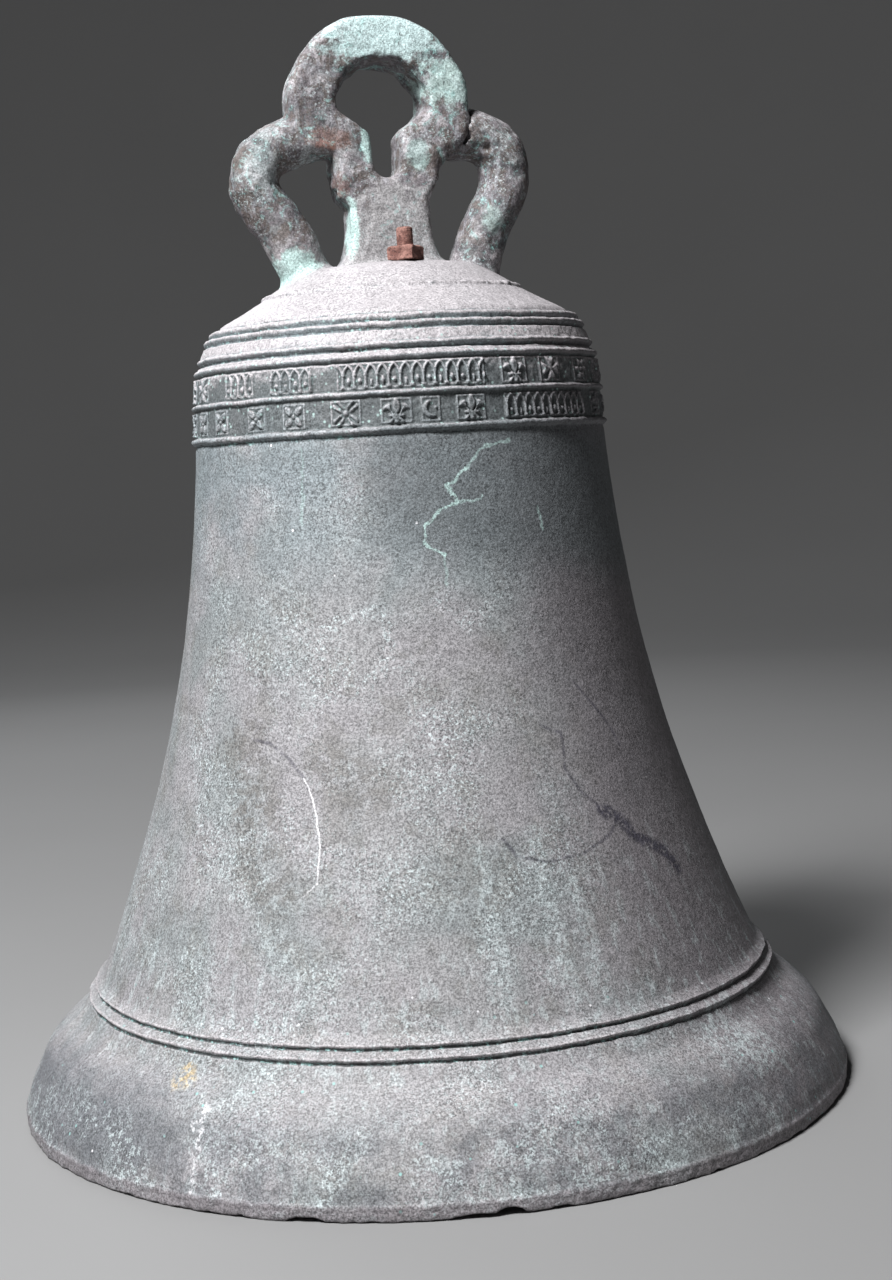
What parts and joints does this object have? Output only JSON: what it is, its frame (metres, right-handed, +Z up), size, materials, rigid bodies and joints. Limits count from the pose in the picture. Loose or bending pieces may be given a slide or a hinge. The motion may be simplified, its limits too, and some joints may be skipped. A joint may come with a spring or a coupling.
{
  "type": "church bell",
  "caption": "Large cast bronze bell with a looped crown for hanging and an iron clapper that swings inside it.",
  "frame": {"origin": "centre of the plane that the lip rests on", "axes": "+Z up along the bell's axis; +X along the crown, so the clapper pin lies along X and the clapper swings towards +Y and -Y; the front of the bell faces -Y"},
  "size_m": [0.998, 0.998, 1.274],
  "materials": {
    "bell_bronze": "cast, dull grey-green patina with dust",
    "crown_bronze": "rough cast, green and brown patina",
    "rusty_iron": "heavily rusted",
    "forged_iron": "forged, dark with rust",
    "clapper_iron": "forged, dark with rust and a worn ball",
    "bush_leather": "greased"
  },
  "bodies": {
    "bell": {"bell_casting": "bell_bronze", "argent": "crown_bronze", "left_canon": "crown_bronze", "right_canon": "crown_bronze", "front_staple_bolt": "rusty_iron", "front_staple_nut": "rusty_iron", "rear_staple_bolt": "rusty_iron", "rear_staple_nut": "rusty_iron", "clapper_staple": "forged_iron", "clapper_pin": "forged_iron", "pin_washer": "forged_iron", "pin_cotter": "forged_iron"},
    "clapper": {"clapper_bush": "bush_leather", "clapper": "clapper_iron"}
  },
  "joints": [
    {"name": "clapper_swing", "type": "hinge", "parent": "bell", "child": "clapper", "pos_m": [0, 0, 0.862], "axis": [1, 0, 0], "range_deg": [-22.3, 22.3]}
  ]
}
